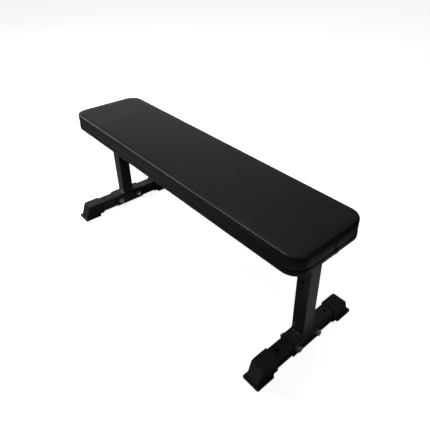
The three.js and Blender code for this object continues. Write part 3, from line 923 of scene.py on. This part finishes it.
def build_staples(tuck):
    """Staples all round under the pad, where the cover is pulled under the board, and one at the end's tuck."""
    low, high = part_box("pad_cover")
    outline = Outline(high.x - low.x, high.y - low.y, PAD_CORNER, PAD_STEP, END_SEAM_Y)
    track = Track(outline.ring(STAPLE_INSET, low.z + PAD_START_SHRINK), upright(outline.outs))
    down = np.array([0, 0, -1.0])
    chance = np.random.default_rng(11)
    count = int(track.length / STAPLE_PITCH)
    staples = []
    for k in range(count):
        place, out = track.at((k + chance.uniform(-0.12, 0.12)) * track.length / count)
        slant = chance.uniform(-0.16, 0.16)
        along = np.cross(down, out) + slant * out
        staples.append(staple(place, along / np.linalg.norm(along), down))
    staples.append(staple(tuck + [0.0007, 0, 0], np.array([0, 0.94, 0.34]), np.array([1.0, 0, 0])))
    make_piece("cover_staples", *gather(staples), "zinc", "zinc")


# ---------------------------------------------------------------- fasteners

def turned(name, rows, centre, axis, look, slot, closed=False):
    """A piece turned about an axis: rows are (height, radius), where either may vary round the axis."""
    axis = np.array(axis, float)
    side = np.array([axis[1], axis[2], axis[0]])
    other = np.cross(axis, side)
    angles = 2 * math.pi * np.arange(TURNED_SIDES) / TURNED_SIDES
    spokes = np.outer(np.cos(angles), side) + np.outer(np.sin(angles), other)
    rings = []
    for height, radius in rows:
        heights = np.broadcast_to(height, TURNED_SIDES)[:, None]
        radii = np.broadcast_to(radius, TURNED_SIDES)[:, None]
        rings.append(np.array(centre) + heights * axis + radii * spokes)
    piece = make_piece(name, *skin_rows(rings, closed), look, slot)
    crisp(piece, 28)
    return piece


def hexagon(across_flats):
    """A hexagon's radius at each of the turned angles."""
    angles = 360 * np.arange(TURNED_SIDES) / TURNED_SIDES
    return across_flats / 2 / np.cos(np.radians((angles + 30) % 60 - 30))


def hexagon_rows(across_flats, start, end):
    """A hexagon with the round chamfer that a turned blank leaves on its far end."""
    corner = hexagon(across_flats)
    circle = across_flats / 2 * 0.96
    cut = (corner - circle) * math.tan(math.radians(30))
    return [(start, corner), (end - cut, corner), (end, circle)]


def thread_rows(radius, pitch, start, end):
    """A screw thread from start to end, which runs out into a short taper at its end."""
    share = np.arange(TURNED_SIDES) / TURNED_SIDES
    rows = []
    for height in np.arange(start, end, -pitch / 5):
        wave = np.abs(((height / pitch + share) % 1) * 2 - 1)
        taper = min(1.0, (height - end) / (1.2 * pitch) * 0.3 + 0.7)
        rows.append((height, (radius - 0.55 * pitch * wave * min(1, (start - height) / pitch)) * taper))
    rows.append((end, radius * 0.68))
    return rows[::-1]


def seat_rows(size, bare):
    """The rows at a head's or a nut's seat: the flange if it has one, or else the rows in `bare`."""
    if "flange" not in size:
        return bare
    rim = size["flange"] / 2
    foot = size["across_flats"] / 2 * 1.17
    return [(0, rim - 0.0003), (0.0004, rim), (0.0010, rim), (FLANGE_TOP, foot)]


def build_bolt(node, size, axis):
    """The head points along the axis, and the head's seat is height 0."""
    low, high = (np.array(corner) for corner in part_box(node))
    centre = (low + high) / 2
    axis = np.array(axis, float)
    length = abs((high - low) @ axis)
    seat = centre + axis * (length / 2 - size["head"])
    shank, head = size["shank"] / 2, size["head"]
    rows = thread_rows(shank, size["pitch"], -(length - head) + THREAD_LENGTH, -(length - head))
    face = size["across_flats"] / 2
    rows.append((0, shank))
    rows += seat_rows(size, [(0, face * 0.94), (0.0003, face * 0.95)])
    rows += hexagon_rows(size["across_flats"], FLANGE_TOP + 0.0001 if "flange" in size else 0.0006, head)
    rows += [(head, face * 0.86), (head - 0.0004, face * 0.80), (head - 0.0004, face * 0.2)]
    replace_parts(turned("hex_" + node, rows, seat, axis, "zinc", "zinc"), node)


def build_nut(node, size, axis):
    """A lock nut: a hexagon with a round collar, which holds a ring of nylon."""
    low, high = (np.array(corner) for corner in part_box(node))
    axis = np.array(axis, float)
    length = abs((high - low) @ axis)
    seat = (low + high) / 2 - axis * length / 2
    flats, bore = size["across_flats"], size["shank"] / 2 + BORE_PLAY
    collar = flats / 2 * 0.86
    rows = [(0, bore)] + seat_rows(size, [(0, flats / 2 * 0.95)])
    rows += hexagon_rows(flats, FLANGE_TOP + 0.0001 if "flange" in size else 0.0005, length * 0.74)
    rows += [(length * 0.75, collar), (length * 0.93, collar), (length * 0.98, collar * 0.97)]
    rows += [(length, collar * 0.90), (length, collar * 0.80)]
    rows += [(length * 0.95, collar * 0.77), (length * 0.95, bore)]
    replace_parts(turned("lock_" + node, rows, seat, axis, "zinc", "zinc", closed=True), node)
    ring = [(length * 0.951, bore - BORE_PLAY), (length * 0.951, collar * 0.76)]
    ring += [(length * 0.975, collar * 0.75), (length * 0.975, bore + 0.0003)]
    turned("nylon_" + node, ring, seat, axis, "nylon", "plug_plastic", closed=True)


def build_fasteners():
    for end, sign in (("right", 1), ("left", -1)):
        for side in ("front", "back"):
            build_bolt(f"foot_bolt_{end}_{side}", FOOT_BOLT, (sign, 0, 0))
            build_nut(f"foot_nut_{end}_{side}", FOOT_BOLT, (-sign, 0, 0))
            build_bolt(f"pad_bolt_{end}_{side}", PAD_BOLT, (0, 0, -1))
        for place in ("outer", "inner"):
            build_bolt(f"cradle_bolt_{end}_{place}", CRADLE_BOLT, (0, -sign, 0))
            build_nut(f"cradle_nut_{end}_{place}", CRADLE_BOLT, (0, sign, 0))


# ---------------------------------------------------------------- welds

def bead(path, outs, up, closed):
    """A weld bead in an inside corner: the path is the corner, and outs and up lie in its two faces."""
    distance = np.concatenate([[0], np.cumsum(np.linalg.norm(np.diff(path, axis=0), axis=1))])
    section = ((-0.2, -0.2), (1.0, -0.2), (0.98, 0.12), (0.72, 0.56), (0.56, 0.72), (0.12, 0.98), (-0.2, 1.0))
    rows = []
    for k, (place, out) in enumerate(zip(path, outs)):
        ripple = abs(math.sin(math.pi * distance[k] / WELD_RIPPLE)) ** 0.6
        size = WELD_SIZE * (0.84 + 0.16 * ripple)
        if not closed:
            size *= 0.35 + 0.65 * min(1, min(distance[k], distance[-1] - distance[k]) / 0.003)
        rows.append(np.array([place + size * (u * out + v * up) for u, v in section]))
    return skin_rows(rows, closed)


def square_path(centre, half, height):
    """Once round a square with round corners, with an outward direction at each point."""
    corner = TUBE_CORNER
    points, outs = [], []
    for quarter in range(4):
        turn = quarter * math.pi / 2
        normal = np.array([math.cos(turn), math.sin(turn)])
        along = np.array([-normal[1], normal[0]])
        for run in np.arange(-(half - corner), half - corner, WELD_STEP):
            points.append(normal * half + along * run)
            outs.append(normal)
        for angle in np.linspace(0, math.pi / 2, 9)[1:-1]:
            out = normal * math.cos(angle) + along * math.sin(angle)
            points.append((normal + along) * (half - corner) + out * corner)
            outs.append(out)
    flat = np.array(points) + np.array(centre)
    return np.column_stack([flat, np.full(len(flat), height)]), upright(outs)


def weld_post(end):
    """A bead round the post's foot on its saddle, and one round its head under the cradle."""
    up = np.array([0, 0, 1.0])
    low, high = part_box("post_" + end)
    centre, half = ((low.x + high.x) / 2, (low.y + high.y) / 2), (high.x - low.x) / 2
    foot = square_path(centre, half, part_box("foot_saddle_" + end)[1].z)
    head = square_path(centre, half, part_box("beam_cradle_" + end)[0].z)
    make_piece("weld_post_foot_" + end, *bead(*foot, up, True), "weld", "frame_steel")
    make_piece("weld_post_head_" + end, *bead(*head, -up, True), "weld", "frame_steel")


def weld_support(end):
    """A bead along each side of the beam, under the support plate."""
    down = np.array([0, 0, -1.0])
    low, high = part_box("pad_support_" + end)
    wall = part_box("main_beam")[1].y
    runs = np.arange(low.x + 0.003, high.x - 0.003, WELD_STEP)
    beads = []
    for side in (-1, 1):
        path = np.column_stack([runs, np.full(len(runs), side * wall), np.full(len(runs), low.z)])
        out = np.tile([0, side, 0.0], (len(runs), 1))
        beads.append(bead(path, out, down, False))
    make_piece("weld_support_" + end, *gather(beads), "weld", "frame_steel")


# ---------------------------------------------------------------- carried-over CAD pieces

def finish_cad_nodes():
    slots = {row["node"]: row["material_slot"] for row in frame["record"]["subparts"]}
    for name, node in nodes.items():
        slot = slots[name]
        mesh = node.data
        mesh.materials.clear()
        mesh.materials.append(LOOKS[slot])
        mesh.polygons.foreach_set("material_index", [0] * len(mesh.polygons))
        if "custom_normal" in mesh.attributes:
            mesh.attributes.remove(mesh.attributes["custom_normal"])
        mesh.polygons.foreach_set("use_smooth", [True] * len(mesh.polygons))
        join = node.modifiers.new("join", "WELD")
        join.merge_threshold = 1e-5
        flat = node.modifiers.new("flat", "DECIMATE")
        flat.decimate_type = "DISSOLVE"
        flat.angle_limit = math.radians(1.0)
        bevel = node.modifiers.new("bevel", "BEVEL")
        rubber = slot == "cap_rubber"
        bevel.width = CAP_BEVEL if rubber else EDGE_BEVEL
        bevel.segments = 3 if rubber else 2
        bevel.limit_method = "ANGLE"
        bevel.angle_limit = math.radians(35)
        bevel.use_clamp_overlap = not rubber
        node.modifiers.new("normals", "WEIGHTED_NORMAL")


# ---------------------------------------------------------------- the scene

make_studio()
finish_cad_nodes()
build_pad()
build_fasteners()
for end in ("right", "left"):
    weld_post(end)
    weld_support(end)
